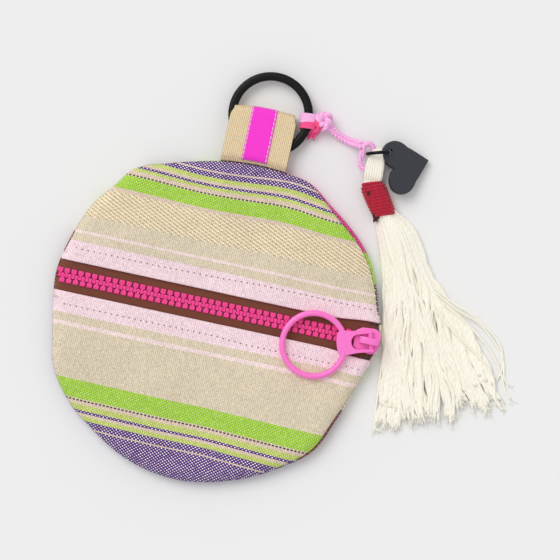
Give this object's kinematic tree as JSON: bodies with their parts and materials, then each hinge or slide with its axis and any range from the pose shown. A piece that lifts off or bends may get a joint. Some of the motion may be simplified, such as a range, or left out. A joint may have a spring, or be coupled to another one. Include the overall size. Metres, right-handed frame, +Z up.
{
  "type": "zip pouch",
  "caption": "Round flat canvas pouch with a zip across its front, a webbing tab with a key ring, and a heart tag and a cotton tassel on a short crocheted link.",
  "frame": {"origin": "middle of the pouch's flat back, on the surface it lies on", "axes": "+X along the zip towards the slider, +Y towards the webbing tab and key ring, +Z up out of the front"},
  "size_m": [0.1842, 0.1678, 0.0135],
  "materials": {
    "canvas_print": "striped woven cotton canvas, matt",
    "canvas_back": "woven cotton canvas, matt",
    "zip_tape": "woven polyester tape, matt",
    "zip_teeth": "moulded acetal, satin",
    "pull_plastic": "moulded plastic, semi-gloss",
    "webbing": "ribbed cotton webbing, matt",
    "ribbon": "woven ribbon with a slight sheen",
    "black_metal": "black coated steel, semi-gloss",
    "crochet_yarn": "crocheted cotton yarn, matt",
    "grey_metal": "dark grey coated metal, matt",
    "red_thread": "wound thread, matt",
    "cream_yarn": "twisted cotton yarn, matt"
  },
  "bodies": {
    "pouch": {"back_panel": "canvas_back", "front_panel_upper": "canvas_print", "front_panel_lower": "canvas_print", "zip_tape_upper": "zip_tape", "zip_tape_lower": "zip_tape", "zip_teeth_upper": "zip_teeth", "zip_teeth_lower": "zip_teeth", "slider": "pull_plastic", "strap_tab": "webbing", "tab_ribbon": "ribbon", "key_ring": "black_metal", "cord_knot": "crochet_yarn", "pink_cord": "crochet_yarn", "cord_end_loop": "crochet_yarn", "jump_ring": "black_metal", "heart_tag": "grey_metal", "tassel_wrap": "red_thread", "tassel": "cream_yarn"},
    "pull": {"ring_pull": "pull_plastic"}
  },
  "joints": [
    {"name": "pull_hinge", "type": "hinge", "parent": "pouch", "child": "pull", "pos_m": [0.06204, 0.0052, 0.0109], "axis": [-0.2672, 0.9636, 0], "range_deg": [0, 160]}
  ]
}
